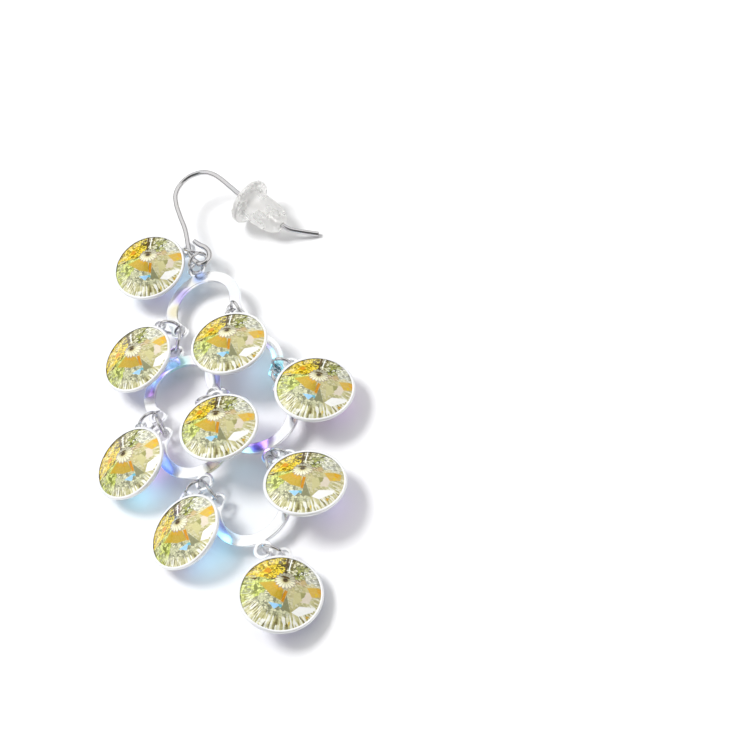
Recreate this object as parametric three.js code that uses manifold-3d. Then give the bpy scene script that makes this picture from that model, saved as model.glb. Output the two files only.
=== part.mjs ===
// Chandelier earring lying face up on a flat surface: an ear wire with its stopper, six flat
// horseshoe links in a diamond lattice, and a crystal in a collar setting hung at each joint.
// Millimetres, Z up. The ear wire is at the far (+Y) end.
import * as THREE from "three";
import { ConvexGeometry } from "three/addons/geometries/ConvexGeometry.js";
import { mergeVertices } from "three/addons/utils/BufferGeometryUtils.js";
import Module from "manifold-3d";

const wasm = await Module();
wasm.setup();

// Driving sizes

// Horseshoe links
const linkDiameter = 10.21; // across the centre line of the band
const linkWidth = 1.65; // of the flat band
const linkThickness = 0.55;
const linkEndAngle = 33.0; // degrees the band runs on past the half circle, at each end
const lugRadius = linkDiameter * 0.1322;
const lugHoleRadius = linkDiameter * 0.08325;
const lugOverlap = 0.2; // how far the middle lug sinks into the band's outer edge

// Jump rings
const ringWire = linkDiameter * 0.047; // so that the rings go on filling the lugs' holes
const ringDiameter = linkDiameter * 0.30362; // across the centre line of the wire
const middleRise = 0.2258; // share of that from the middle ring's centre to the ring hung in it

// Crystals
const stoneDiameter = 10.6;
const stoneTable = 0.9; // across the small flat facet at the tip
const crownHeight = 2.1; // above the girdle
const pavilionDepth = 2.5; // below the girdle
const girdleThickness = 0.3;
const stoneFacets = 16;

// Collar settings
const cupWall = 0.32;
const cupDepth = 0.62; // from the girdle's middle down to the lower edge
const cupLip = 0.34; // from the girdle's middle up to the lip
const seatGap = 0.06; // between crystal and setting
const seatReach = 0.5; // how far the seat runs in under the crystal
const cupLugRadius = 1.1;
const cupLugHole = 0.7;
const cupLugThickness = 0.5;
const cupLugDrop = 1.2; // lug's middle below the girdle

// Ear wire and stopper
const hookWire = 0.8;
const hookHeight = 20; // from the eye's centre to the top of the bow is 0.63 of this
const stopperLength = 7.2;
const stopperFlange = 7.2; // across the flange
const stopperFlangeThickness = 1.0;
const stopperBody = 4.85; // across the body
const stopperNose = 3.0; // across the rounded nose
const stopperClearance = 0.12; // round the wire
const stopperStart = 0.16; // share of the straight tail before the flange

const degrees = Math.PI / 180;
const linkRadius = linkDiameter / 2;
const cupRadius = stoneDiameter / 2 + cupWall;

// Lays the links out: centre in shares of linkDiameter, turn about Z, tilt about the base line and
// about the middle direction in degrees. side is +1 where the arch points away, -1 where it points
// to the stones' end.
const LINKS = [
  { name: "half_ring_top", side: 1, at: [0.1946, 1.7227, 0.2695], turn: -8.1, tilt: [-0.3, -6.4] },
  { name: "half_ring_left", side: 1, at: [-0.5133, 0.5015, 0.244], turn: -6.7, tilt: [-2.7, -4.2] },
  { name: "half_ring_right", side: 1, at: [0.402, 0.4312, 0.2193], turn: -3.2, tilt: [-1.2, -1.8] },
  { name: "half_ring_lower_left", side: -1, at: [-0.5847, -0.3925, 0.2568], turn: -6.4, tilt: [0.6, 4.4] },
  { name: "half_ring_lower_right", side: -1, at: [0.3351, -0.4638, 0.2417], turn: -3.2, tilt: [-0.7, 2.8] },
  { name: "half_ring_bottom", side: -1, at: [-0.199, -1.7245, 0.2164], turn: -4.5, tilt: [0.6, 4.7] },
];

// Crystals: the hole each hangs from, the step from that hole to the setting's own hole in
// shares of ringDiameter, how far the crystal leans, which way, and the bearing of its lug.
const STONES = [
  { id: 1, link: "ear_hook", lug: "side", step: [-0.4609, 0.8416, -0.2752], lean: 5.5, toward: 267.9, bearing: 7 },
  { id: 2, link: "half_ring_top", lug: "left", step: [-0.7834, 0.5718, 0.3469], lean: 11.2, toward: 161.6, bearing: 46 },
  { id: 3, link: "half_ring_top", lug: "right", step: [0.252, -0.7264, 0.2958], lean: 5.7, toward: 43.0, bearing: 62 },
  { id: 4, link: "half_ring_left", lug: "left", step: [-0.9609, -0.2118, 0.0938], lean: 15.2, toward: 161.0, bearing: 68 },
  { id: 5, link: "ring_middle", lug: "eye", step: [0.1288, -0.1736, 0.556], lean: 5.1, toward: 35.2, bearing: 80 },
  { id: 6, link: "half_ring_right", lug: "right", step: [0.7102, -0.3555, 0.3554], lean: 14.2, toward: 358.2, bearing: 104 },
  { id: 7, link: "half_ring_lower_left", lug: "mid", step: [-1.0444, -0.1825, -0.2899], lean: 17.8, toward: 152.9, bearing: 82 },
  { id: 8, link: "half_ring_lower_right", lug: "mid", step: [0.7115, -0.512, 0.1774], lean: 14.9, toward: 21.9, bearing: 94 },
  { id: 9, link: "half_ring_bottom", lug: "mid", step: [0.7256, -0.6261, -0.0591], lean: 17.1, toward: 344.7, bearing: 67 },
];

// Ear wire: centre of the eye from the top link's middle hole in shares of ringDiameter, and the
// points of the wire from the eye's cut end to the tail's tip in shares of hookHeight.
const EYE_STEP = [0.456, 0.5153, 0.3187];
const EYE_AND_BOW = [
  [-0.002, 0.1539, -0.01],
  [0.0269, 0.0934, -0.005],
  [0.0603, 0.0379, -0.0025],
  [0.0677, -0.0339, 0.0],
  [0.0407, -0.0842, 0.0025],
  [-0.0114, -0.0933, 0.0025],
  [-0.0499, -0.045, 0.0025],
  [-0.064, 0.0241, 0.0075],
  [-0.0571, 0.1058, 0.015],
  [-0.0419, 0.1907, 0.02],
  [-0.0301, 0.2785, 0.025],
  [-0.0269, 0.4241, 0.035],
  [-0.0152, 0.5548, 0.045],
  [0.0082, 0.6269, 0.05],
  [0.0582, 0.6827, 0.055],
  [0.1325, 0.7176, 0.06],
  [0.21, 0.7181, 0.0625],
  [0.2713, 0.6963, 0.0625],
  [0.3232, 0.6481, 0.06],
  [0.3656, 0.5736, 0.055],
  [0.4059, 0.4758, 0.0425],
];
const TAIL_START = [0.4536, 0.3617, 0.02];
const TAIL_END = [0.6571, -0.0295, -0.0775];
const TAIL_TIP = [
  [0.6884, -0.0665, -0.095],
  [0.7312, -0.094, -0.1125],
  [0.8701, -0.1707, -0.164],
];

// Jump rings: the two holes each passes through, the way it leans about the line between them
// (degrees from upright), and where its wire stands in each hole: sideways and along that line, in
// shares of the play.
const RINGS = [
  { name: "ring_top_left", ends: ["half_ring_top.left", "half_ring_left.mid"], lean: 150, slide: [[0, 0], [0, 0]] },
  { name: "ring_top_right", ends: ["half_ring_top.right", "half_ring_right.mid"], lean: 20, slide: [[-0.7, 0], [0.7, 0]] },
  { name: "ring_left", ends: ["half_ring_left.left", "half_ring_lower_left.left"], lean: 0, slide: [[0, 0], [0, 0]] },
  { name: "ring_right", ends: ["half_ring_right.right", "half_ring_lower_right.right"], lean: 20, slide: [[0, 0], [0, 0]] },
  { name: "ring_bottom_left", ends: ["half_ring_lower_left.mid", "half_ring_bottom.left"], lean: 0, slide: [[0, 0], [0, 0]] },
  { name: "ring_bottom_right", ends: ["half_ring_lower_right.mid", "half_ring_bottom.right"], lean: 20, slide: [[0, 0], [0, 0]] },
  { name: "ring_middle", ends: ["middle.upper", "middle.lower"], lean: 20, slide: [[0, 0], [0, 0]] },
  { name: "ring_hook", ends: ["half_ring_top.mid", "ear_hook.eye"], lean: 350, slide: [[0, -0.7], [0, 0.7]] },
  { name: "ring_stone_1", ends: ["ear_hook.side", "cup_1.lug"], lean: 330, slide: [[0.7, 0], [0, 0]] },
  { name: "ring_stone_2", ends: ["half_ring_top.left", "cup_2.lug"], lean: 0, slide: [[0.7, 0], [0, 0]] },
  { name: "ring_stone_3", ends: ["half_ring_top.right", "cup_3.lug"], lean: 160, slide: [[0, -0.7], [0, 0.7]] },
  { name: "ring_stone_4", ends: ["half_ring_left.left", "cup_4.lug"], lean: 180, slide: [[0.7, 0], [0, 0]] },
  { name: "ring_stone_5", ends: ["ring_middle.eye", "cup_5.lug"], lean: 30, slide: [[0.7, 0], [0, 0]] },
  { name: "ring_stone_6", ends: ["half_ring_right.right", "cup_6.lug"], lean: 0, slide: [[-0.7, 0], [0, 0.7]] },
  { name: "ring_stone_7", ends: ["half_ring_lower_left.mid", "cup_7.lug"], lean: 0, slide: [[0.7, 0], [0, 0]] },
  { name: "ring_stone_8", ends: ["half_ring_lower_right.mid", "cup_8.lug"], lean: 0, slide: [[-0.7, 0], [0, 0.7]] },
  { name: "ring_stone_9", ends: ["half_ring_bottom.mid", "cup_9.lug"], lean: 0, slide: [[0, 0], [0, 0]] },
];

function vector(values, scale) {
  return new THREE.Vector3(...values).multiplyScalar(scale);
}

function solidFrom(geometry) {
  const bare = new THREE.BufferGeometry();
  const loose = geometry.index ? geometry.toNonIndexed() : geometry;
  bare.setAttribute("position", loose.getAttribute("position"));
  const merged = mergeVertices(bare, 1e-4);
  return new wasm.Manifold(
    new wasm.Mesh({
      numProp: 3,
      vertProperties: merged.attributes.position.array,
      triVerts: new Uint32Array(merged.index.array),
    }),
  );
}

function geometryFrom(solid) {
  const mesh = solid.getMesh();
  const geometry = new THREE.BufferGeometry();
  geometry.setAttribute("position", new THREE.BufferAttribute(mesh.vertProperties, 3));
  geometry.setIndex(new THREE.BufferAttribute(mesh.triVerts, 1));
  return geometry;
}

// Points on a circle from angle a to angle b, in degrees, ends included.
function arcPoints(centre, radius, a, b, steps) {
  const points = [];
  for (let i = 0; i <= steps; i += 1) {
    const angle = (a + ((b - a) * i) / steps) * degrees;
    points.push([centre[0] + radius * Math.cos(angle), centre[1] + radius * Math.sin(angle)]);
  }
  return points;
}

// Where the circle of a given radius about the origin meets a lug of lugRadius at distance far:
// the angle seen from the origin and the angle seen from the lug's centre, both from the lug's line.
function lugMeeting(radius, far) {
  const along = (radius * radius - lugRadius * lugRadius + far * far) / (2 * far);
  const across = Math.sqrt(radius * radius - along * along);
  return {
    fromOrigin: Math.atan2(across, along) / degrees,
    fromLug: Math.atan2(across, along - far) / degrees,
  };
}

const outerRadius = linkRadius + linkWidth / 2;
const innerRadius = linkRadius - linkWidth / 2;
const middleLug = outerRadius + lugRadius - lugOverlap;

// Centres of a link's three holes in the link's own plane.
const LUG_AT = {
  left: [-linkRadius * Math.cos(linkEndAngle * degrees), -linkRadius * Math.sin(linkEndAngle * degrees)],
  right: [linkRadius * Math.cos(linkEndAngle * degrees), -linkRadius * Math.sin(linkEndAngle * degrees)],
  mid: [0, middleLug],
};

function linkOutline() {
  const outer = lugMeeting(outerRadius, linkRadius);
  const inner = lugMeeting(innerRadius, linkRadius);
  const mid = lugMeeting(outerRadius, middleLug);
  const right = -linkEndAngle;
  const left = 180 + linkEndAngle;
  return [
    ...arcPoints(LUG_AT.right, lugRadius, right - inner.fromLug, right + outer.fromLug, 12),
    ...arcPoints([0, 0], outerRadius, right + outer.fromOrigin, 90 - mid.fromOrigin, 11).slice(1),
    ...arcPoints(LUG_AT.mid, lugRadius, 90 - mid.fromLug, 90 + mid.fromLug, 12).slice(1),
    ...arcPoints([0, 0], outerRadius, 90 + mid.fromOrigin, left - outer.fromOrigin, 11).slice(1),
    ...arcPoints(LUG_AT.left, lugRadius, left - outer.fromLug, left + inner.fromLug, 12).slice(1),
    ...arcPoints([0, 0], innerRadius, left - inner.fromOrigin, right + inner.fromOrigin, 20).slice(1, -1),
  ];
}

function linkGeometry() {
  const shape = new THREE.Shape(linkOutline().map(([x, y]) => new THREE.Vector2(x, y)));
  for (const centre of Object.values(LUG_AT)) {
    const ring = arcPoints(centre, lugHoleRadius, 0, 360, 12).slice(0, -1).reverse();
    shape.holes.push(new THREE.Path(ring.map(([x, y]) => new THREE.Vector2(x, y))));
  }
  const flat = new THREE.ExtrudeGeometry(shape, { depth: linkThickness, bevelEnabled: false });
  return flat.translate(0, 0, -linkThickness / 2);
}

// The matrix that lays a link in its place.
function linkPlace(link) {
  const base = new THREE.Vector3(Math.cos(link.turn * degrees), Math.sin(link.turn * degrees), 0);
  const arch = new THREE.Vector3(-base.y, base.x, 0).multiplyScalar(link.side);
  arch.applyAxisAngle(base, link.tilt[0] * degrees);
  base.applyAxisAngle(arch, link.tilt[1] * degrees);
  const face = new THREE.Vector3().crossVectors(base, arch);
  const place = new THREE.Matrix4().makeBasis(base, arch, face);
  return place.setPosition(vector(link.at, linkDiameter));
}

// Every hole a jump ring can pass through: its centre, axis and radius.
const holes = {};
for (const link of LINKS) {
  const place = linkPlace(link);
  const axis = new THREE.Vector3().setFromMatrixColumn(place, 2);
  for (const [lug, [x, y]] of Object.entries(LUG_AT)) {
    const centre = new THREE.Vector3(x, y, 0).applyMatrix4(place);
    holes[`${link.name}.${lug}`] = { centre, axis, radius: lugHoleRadius };
  }
}

// At the middle joint one pair of end lugs lies over another, twice; one ring takes all four.
function stackedHole(a, b) {
  const centre = new THREE.Vector3().addVectors(holes[a].centre, holes[b].centre).multiplyScalar(0.5);
  return { centre, axis: holes[a].axis, radius: lugHoleRadius };
}

holes["middle.upper"] = stackedHole("half_ring_left.right", "half_ring_right.left");
holes["middle.lower"] = stackedHole("half_ring_lower_left.right", "half_ring_lower_right.left");

// The matrix that puts a crystal's girdle and its setting in place: X runs out to the lug.
function stonePlace(stone) {
  const lean = stone.lean * degrees;
  const way = stone.toward * degrees;
  const face = new THREE.Vector3(
    Math.sin(lean) * Math.cos(way),
    Math.sin(lean) * Math.sin(way),
    Math.cos(lean),
  );
  const out = new THREE.Vector3(Math.cos(stone.bearing * degrees), Math.sin(stone.bearing * degrees), 0);
  out.addScaledVector(face, -out.dot(face)).normalize();
  const across = new THREE.Vector3().crossVectors(face, out);
  const lug = holes[`${stone.link}.${stone.lug}`].centre.clone().add(vector(stone.step, ringDiameter));
  holes[`cup_${stone.id}.lug`] = { centre: lug, axis: face, radius: cupLugHole };
  const centre = lug
    .clone()
    .addScaledVector(out, -(cupRadius + cupLugHole))
    .addScaledVector(face, cupLugDrop);
  return new THREE.Matrix4().makeBasis(out, across, face).setPosition(centre);
}

// Round pointed crystal: facets on the crown and the back, a narrow girdle and a small table.
function stoneGeometry() {
  const rim = stoneDiameter / 2;
  const points = [];
  function ring(radius, height, count, turn) {
    for (let i = 0; i < count; i += 1) {
      const angle = ((i + turn) / count) * 2 * Math.PI;
      points.push(new THREE.Vector3(radius * Math.cos(angle), radius * Math.sin(angle), height));
    }
  }
  const girdle = girdleThickness / 2;
  ring(stoneTable / 2, crownHeight, stoneFacets / 2, 0);
  ring(rim * 0.55, girdle + (crownHeight - girdle) * 0.5, stoneFacets, 0.5);
  ring(rim, girdle, stoneFacets, 0);
  ring(rim, -girdle, stoneFacets, 0);
  ring(rim * 0.5, -girdle - (pavilionDepth - girdle) * 0.55, stoneFacets, 0.5);
  ring(stoneTable / 2, -pavilionDepth, stoneFacets / 2, 0);
  return new ConvexGeometry(points);
}

// Collar setting: a shallow thin wall with a lip over the girdle, a seat under it, open at the
// back, and a tab that drops to a flat lug with a hole.
function cupSolid() {
  const rim = stoneDiameter / 2;
  const profile = [
    [cupRadius, -cupDepth],
    [cupRadius, cupLip - 0.16],
    [rim + 0.1, cupLip],
    [rim - 0.1, cupLip - 0.04],
    [rim + seatGap, girdleThickness / 2],
    [rim + seatGap, -girdleThickness / 2 - seatGap],
    [rim - seatReach, -girdleThickness / 2 - seatGap - seatReach * 0.56],
    [rim - seatReach, -cupDepth],
  ].map(([radius, height]) => new THREE.Vector2(radius, height));
  profile.push(profile[0].clone());
  const wall = solidFrom(new THREE.LatheGeometry(profile, 28).rotateX(Math.PI / 2));
  const tabDepth = cupLugDrop + cupLugThickness / 2 - cupDepth * 0.7;
  const tab = wasm.Manifold.cube([cupWall * 0.9, cupLugRadius * 1.6, tabDepth], true).translate([
    cupRadius - cupWall * 0.5,
    0,
    -cupDepth * 0.7 - tabDepth / 2,
  ]);
  const shape = new THREE.Shape();
  const reach = cupRadius + cupLugHole;
  const start = [cupRadius - cupWall * 0.7, 0];
  const outline = arcPoints([reach, 0], cupLugRadius, -125, 125, 12);
  shape.setFromPoints(
    [[start[0], -cupLugRadius * 0.8], ...outline, [start[0], cupLugRadius * 0.8]].map(
      ([x, y]) => new THREE.Vector2(x, y),
    ),
  );
  const ring = arcPoints([reach, 0], cupLugHole, 0, 360, 12).slice(0, -1).reverse();
  shape.holes.push(new THREE.Path(ring.map(([x, y]) => new THREE.Vector2(x, y))));
  const lug = new THREE.ExtrudeGeometry(shape, { depth: cupLugThickness, bevelEnabled: false });
  lug.translate(0, 0, -cupLugDrop - cupLugThickness / 2);
  return wall.add(solidFrom(lug)).add(tab);
}

// Ear wire and stopper
const eye = holes["half_ring_top.mid"].centre.clone().add(vector(EYE_STEP, ringDiameter));

function hookPoint(share) {
  return vector(share, hookHeight).add(eye);
}

holes["ear_hook.eye"] = {
  centre: hookPoint([0.012, -0.03, -0.004]),
  axis: new THREE.Vector3(0, 0, 1),
  radius: hookHeight * 0.045,
};
holes["ear_hook.side"] = {
  centre: hookPoint([0, 0, 0]),
  axis: new THREE.Vector3(0, 0, 1),
  radius: 0.45,
};

// The middle ring's own opening carries the ring of crystal 5.
const middleRing = ringPlace(RINGS.find((row) => row.name === "ring_middle"));
holes["ring_middle.eye"] = {
  centre: new THREE.Vector3(0, middleRise * ringDiameter, 0).applyMatrix4(middleRing),
  axis: new THREE.Vector3().setFromMatrixColumn(middleRing, 2),
  radius: 0.5,
};

function roundWire(points, steps, sides) {
  const path = new THREE.CatmullRomCurve3(points, false, "centripetal");
  const section = new THREE.Shape(
    arcPoints([0, 0], hookWire / 2, 0, 360, sides)
      .slice(0, -1)
      .map(([x, y]) => new THREE.Vector2(x, y)),
  );
  return new THREE.ExtrudeGeometry(section, { steps, extrudePath: path });
}

function hookGeometry() {
  const tail = [0.02, 0.34, 0.66, 0.98].map((share) =>
    new THREE.Vector3().lerpVectors(hookPoint(TAIL_START), hookPoint(TAIL_END), share),
  );
  return roundWire([...EYE_AND_BOW.map(hookPoint), ...tail, ...TAIL_TIP.map(hookPoint)], 84, 8);
}

function stopperGeometry() {
  const hole = hookWire / 2 + stopperClearance;
  const body = stopperBody / 2;
  const nose = stopperNose / 2;
  const profile = [
    [hole, 0],
    [stopperFlange / 2 - 0.15, 0],
    [stopperFlange / 2, 0.15],
    [stopperFlange / 2, stopperFlangeThickness - 0.15],
    [stopperFlange / 2 - 0.15, stopperFlangeThickness],
    [body, stopperFlangeThickness + 0.2],
    [body * 0.98, stopperLength * 0.55],
    [body * 0.88, stopperLength * 0.78],
    [nose, stopperLength * 0.95],
    [nose * 0.7, stopperLength],
    [hole, stopperLength],
  ].map(([radius, height]) => new THREE.Vector2(radius, height));
  profile.push(profile[0].clone());
  const start = hookPoint(TAIL_START);
  const along = hookPoint(TAIL_END).sub(start);
  const turned = new THREE.LatheGeometry(profile, 20);
  const way = new THREE.Quaternion().setFromUnitVectors(
    new THREE.Vector3(0, 1, 0),
    along.clone().normalize(),
  );
  start.addScaledVector(along, stopperStart);
  return turned.applyQuaternion(way).translate(start.x, start.y, start.z);
}

// The torus of a jump ring whose wire passes through two holes.
function ringPlace(ring) {
  const [a, b] = ring.ends.map((end) => holes[end]);
  const from = a.centre.clone();
  const to = b.centre.clone();
  const line = new THREE.Vector3().subVectors(to, from).normalize();
  const upright = new THREE.Vector3(0, 0, 1).addScaledVector(line, -line.z).normalize();
  const sideways = new THREE.Vector3().crossVectors(line, upright);
  const play = (hole) => hole.radius - ringWire / 2;
  from.addScaledVector(sideways, ring.slide[0][0] * play(a)).addScaledVector(line, ring.slide[0][1] * play(a));
  to.addScaledVector(sideways, ring.slide[1][0] * play(b)).addScaledVector(line, ring.slide[1][1] * play(b));
  const chord = new THREE.Vector3().subVectors(to, from);
  const half = Math.min(chord.length(), ringDiameter) / 2;
  chord.normalize();
  const rise = Math.sqrt((ringDiameter / 2) ** 2 - half * half);
  const up = new THREE.Vector3(0, 0, 1).addScaledVector(chord, -chord.z).normalize();
  const side = new THREE.Vector3().crossVectors(chord, up);
  const lean = ring.lean * degrees;
  const rising = up.multiplyScalar(Math.cos(lean)).addScaledVector(side, Math.sin(lean));
  const centre = new THREE.Vector3().addVectors(from, to).multiplyScalar(0.5);
  centre.addScaledVector(rising, rise);
  const face = new THREE.Vector3().crossVectors(chord, rising);
  return new THREE.Matrix4().makeBasis(chord, rising, face).setPosition(centre);
}

// Assembly
const group = new THREE.Group();
group.name = "chandelier_earring";

function metal(colour, roughness) {
  return new THREE.MeshStandardMaterial({ color: colour, metalness: 1, roughness });
}

function crystal() {
  return new THREE.MeshStandardMaterial({ color: 0xcfc85a, metalness: 0.1, roughness: 0.05 });
}

function silicone() {
  return new THREE.MeshStandardMaterial({ color: 0xe9ebec, metalness: 0, roughness: 0.45 });
}

function addPiece(name, geometry, material) {
  const mesh = new THREE.Mesh(geometry, material);
  mesh.name = name;
  group.add(mesh);
}

const link = linkGeometry();
for (const row of LINKS) {
  addPiece(row.name, link.clone().applyMatrix4(linkPlace(row)), metal(0xe6e8ea, 0.12));
}

const stone = stoneGeometry();
const cup = geometryFrom(cupSolid());
for (const row of STONES) {
  const place = stonePlace(row);
  addPiece(`stone_${row.id}`, stone.clone().applyMatrix4(place), crystal());
  addPiece(`cup_${row.id}`, cup.clone().applyMatrix4(place), metal(0xe6e8ea, 0.15));
}

addPiece("ear_hook", hookGeometry(), metal(0xd9dbdd, 0.18));
addPiece("stopper", stopperGeometry(), silicone());

const torus = new THREE.TorusGeometry(ringDiameter / 2, ringWire / 2, 6, 14);
for (const row of RINGS) {
  addPiece(row.name, torus.clone().applyMatrix4(ringPlace(row)), metal(0xd9dbdd, 0.15));
}

// Rests the lowest point on the surface, with the middle of the footprint at the origin.
const bounds = new THREE.Box3().setFromObject(group);
const middle = bounds.getCenter(new THREE.Vector3());
for (const mesh of group.children) {
  mesh.geometry.translate(-middle.x, -middle.y, -bounds.min.z);
}

export default group;
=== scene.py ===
"""Dresses the chandelier earring: polished links, rings, foiled crystals, ear wire, stopper."""

import math

import bmesh
import bpy
from mathutils import Euler, Matrix, Vector


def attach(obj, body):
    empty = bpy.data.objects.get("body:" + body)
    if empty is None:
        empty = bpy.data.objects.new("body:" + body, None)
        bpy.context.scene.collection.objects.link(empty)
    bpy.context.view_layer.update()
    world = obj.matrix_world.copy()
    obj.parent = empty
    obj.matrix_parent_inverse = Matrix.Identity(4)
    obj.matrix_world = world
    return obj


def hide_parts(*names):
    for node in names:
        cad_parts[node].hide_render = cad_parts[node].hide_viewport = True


bl_info = {
    "name": "Chandelier Earring",
    "version": (1, 0, 0),
    "blender": (4, 5, 0),
    "location": "3D View > Sidebar > Earring",
    "description": "Builds the pieces of a long crystal earring and the stage it lies on",
    "category": "Object",
}

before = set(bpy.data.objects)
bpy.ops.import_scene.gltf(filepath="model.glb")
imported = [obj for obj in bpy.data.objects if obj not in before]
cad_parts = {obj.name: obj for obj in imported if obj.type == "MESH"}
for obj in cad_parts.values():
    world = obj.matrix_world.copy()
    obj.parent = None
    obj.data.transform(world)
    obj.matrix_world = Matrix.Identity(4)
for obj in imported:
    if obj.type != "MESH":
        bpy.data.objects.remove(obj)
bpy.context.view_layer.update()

MM = 0.001

# Name, centre in millimetres and turn about X, Y and Z in degrees of every flat link.
LINKS = [
    ("half_ring_top", (1.433, 16.154, 2.686), (-0.30, -6.40, -8.07)),
    ("half_ring_left", (-5.795, 3.686, 2.425), (-2.71, -4.20, -6.50)),
    ("half_ring_right", (3.550, 2.968, 2.173), (-1.20, -1.80, -3.16)),
    ("half_ring_lower_left", (-6.524, -5.442, 2.556), (-179.40, -4.40, -6.45)),
    ("half_ring_lower_right", (2.867, -6.170, 2.402), (179.30, -2.80, -3.17)),
    ("half_ring_bottom", (-2.586, -19.042, 2.143), (-179.40, -4.70, -4.55)),
]

# Number, middle of the girdle and turn of every crystal; its X axis runs out to the setting's lug.
CRYSTALS = [
    (1, (-3.862, 26.494, 3.883), (5.43, -0.86, 6.92)),
    (2, (-10.129, 11.250, 3.953), (-10.16, -4.74, 46.85)),
    (3, (3.185, 5.069, 5.882), (1.87, 5.39, 62.18)),
    (4, (-15.984, -5.011, 3.608), (-15.18, -0.76, 68.21)),
    (5, (-2.316, -8.029, 6.484), (3.61, 3.61, 80.23)),
    (6, (11.592, -7.298, 4.221), (13.71, -3.72, 103.09)),
    (7, (-11.934, -19.078, 3.331), (-16.96, 5.49, 80.33)),
    (8, (5.526, -20.987, 4.682), (14.25, 4.39, 95.11)),
    (9, (-2.952, -33.975, 3.271), (16.97, 2.16, 67.66)),
]

# Name, centre and turn of every jump ring; its Y axis points away from the line between its holes.
JUMP_RINGS = [
    ("ring_top_left", (-4.071, 12.354, 2.157), (-120.00, 2.00, -118.67)),
    ("ring_top_right", (4.599, 11.420, 2.601), (110.00, 19.93, -130.87)),
    ("ring_left", (-10.409, -0.395, 2.250), (90.00, -0.22, -91.50)),
    ("ring_right", (7.480, -1.837, 2.471), (110.00, -3.35, -95.98)),
    ("ring_bottom_left", (-6.967, -14.205, 2.152), (90.00, 10.61, -78.68)),
    ("ring_bottom_right", (2.179, -14.924, 2.506), (110.00, -0.59, -99.87)),
    ("ring_middle", (-1.493, -1.361, 2.510), (110.00, -0.84, -93.70)),
    ("ring_hook", (3.117, 23.647, 3.416), (80.00, -25.18, 31.10)),
    ("ring_stone_1", (3.163, 26.097, 3.256), (60.00, 15.98, 121.54)),
    ("ring_stone_2", (-4.260, 15.057, 2.761), (90.00, -19.50, 151.96)),
    ("ring_stone_3", (5.628, 11.725, 3.617), (-110.00, -21.04, -70.87)),
    ("ring_stone_4", (-11.905, 1.288, 2.290), (-90.00, -5.39, -159.60)),
    ("ring_stone_5", (-2.772, -1.530, 4.431), (120.00, -68.06, -38.23)),
    ("ring_stone_6", (8.904, -0.404, 3.238), (90.00, -23.86, -35.40)),
    ("ring_stone_7", (-8.969, -12.550, 2.032), (90.00, 15.17, -162.69)),
    ("ring_stone_8", (3.828, -13.951, 2.795), (90.00, -11.33, -43.75)),
    ("ring_stone_9", (-1.997, -27.088, 2.410), (90.00, 3.53, -40.79)),
]

# Middle line of the ear wire in millimetres, from the eye's cut end to the tip.
EAR_WIRE = [
    (3.804, 27.839, 3.437),
    (4.382, 26.629, 3.537),
    (5.050, 25.519, 3.587),
    (5.198, 24.083, 3.637),
    (4.658, 23.077, 3.687),
    (3.616, 22.895, 3.687),
    (2.846, 23.861, 3.687),
    (2.564, 25.243, 3.787),
    (2.702, 26.877, 3.937),
    (3.006, 28.575, 4.037),
    (3.242, 30.331, 4.137),
    (3.306, 33.243, 4.337),
    (3.540, 35.857, 4.537),
    (4.008, 37.299, 4.637),
    (5.008, 38.415, 4.737),
    (6.494, 39.113, 4.837),
    (8.044, 39.123, 4.887),
    (9.270, 38.687, 4.887),
    (10.308, 37.723, 4.837),
    (11.156, 36.233, 4.737),
    (11.962, 34.277, 4.487),
    (12.997, 31.838, 3.998),
    (14.300, 29.335, 3.374),
    (15.602, 26.831, 2.750),
    (16.904, 24.327, 2.126),
    (17.612, 23.431, 1.737),
    (18.468, 22.881, 1.387),
    (21.246, 21.347, 0.357),
]
STOPPER_START = (13.567, 30.743, 3.725)
STOPPER_WAY = (0.4506, -0.8662, -0.2159)
# Angles of a jump ring's cut ends in degrees, the second one after the whole way round.
RING_ENDS = (143.0, 500.5)

# Painted reflections of the crystals' coloured light on the polished links: middle and reach in
# millimetres, and tone.
PAINTED_REFLECTIONS = [
    ((2.5, 21.3, 2.8), 1.4, "reflected_blue"),
    ((-0.8, 19.4, 2.6), 2.0, "reflected_lavender"),
    ((-2.6, 17.6, 2.4), 1.7, "reflected_straw"),
    ((-5.3, 8.1, 2.5), 2.3, "reflected_pool"),
    ((-7.8, 7.4, 2.5), 1.3, "reflected_pale"),
    ((-10.1, 5.5, 2.5), 1.4, "reflected_mauve"),
    ((8.1, 0.0, 2.5), 2.2, "reflected_cyan"),
    ((-11.2, -7.5, 2.6), 2.4, "reflected_blue"),
    ((-5.4, -10.9, 2.6), 1.6, "reflected_straw"),
    ((1.3, -10.8, 2.5), 1.3, "reflected_deep"),
    ((2.9, -10.6, 2.5), 1.3, "reflected_violet"),
    ((-6.9, -21.1, 2.3), 2.6, "reflected_pale"),
]

# Picture on a crystal's face, in shares of its radius, with the scene's right as across.
PICTURE_TURN = math.radians(-21.0)
# Turn in degrees and shift of the picture on each crystal, as its own tilt moves it.
PICTURE_SHIFT = {
    1: (0.0, 0.04, 0.05),
    2: (20.0, 0.08, -0.07),
    3: (0.0, 0.0, 0.0),
    4: (21.0, 0.08, -0.07),
    5: (0.0, -0.03, 0.04),
    6: (-12.0, 0.06, 0.07),
    7: (21.0, 0.08, -0.07),
    8: (-5.0, -0.08, 0.03),
    9: (-12.0, 0.06, 0.07),
}
# The painted image of the back's tip, a small daisy: its middle, its petals, and its dark heart.
DAISY = (0.02, 0.15)
DAISY_PETALS = 16
HEART = [(-0.16, 0.25), (-0.05, 0.30), (0.08, 0.28), (0.13, 0.22), (-0.02, 0.21)]
# Cells across and along: on the face, round the daisy, and round and out towards the rim.
MOSAIC = (13.0, 17.0)
FINE_MOSAIC = (46.0, 13.0)
RIM_STROKES = (190.0, 6.5)
# Where the light that comes through a crystal leaves it, as a direction in the scene; the back
# glows there in its place.
FAR_SIDE = (0.72, -0.69, 0.0)
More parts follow.
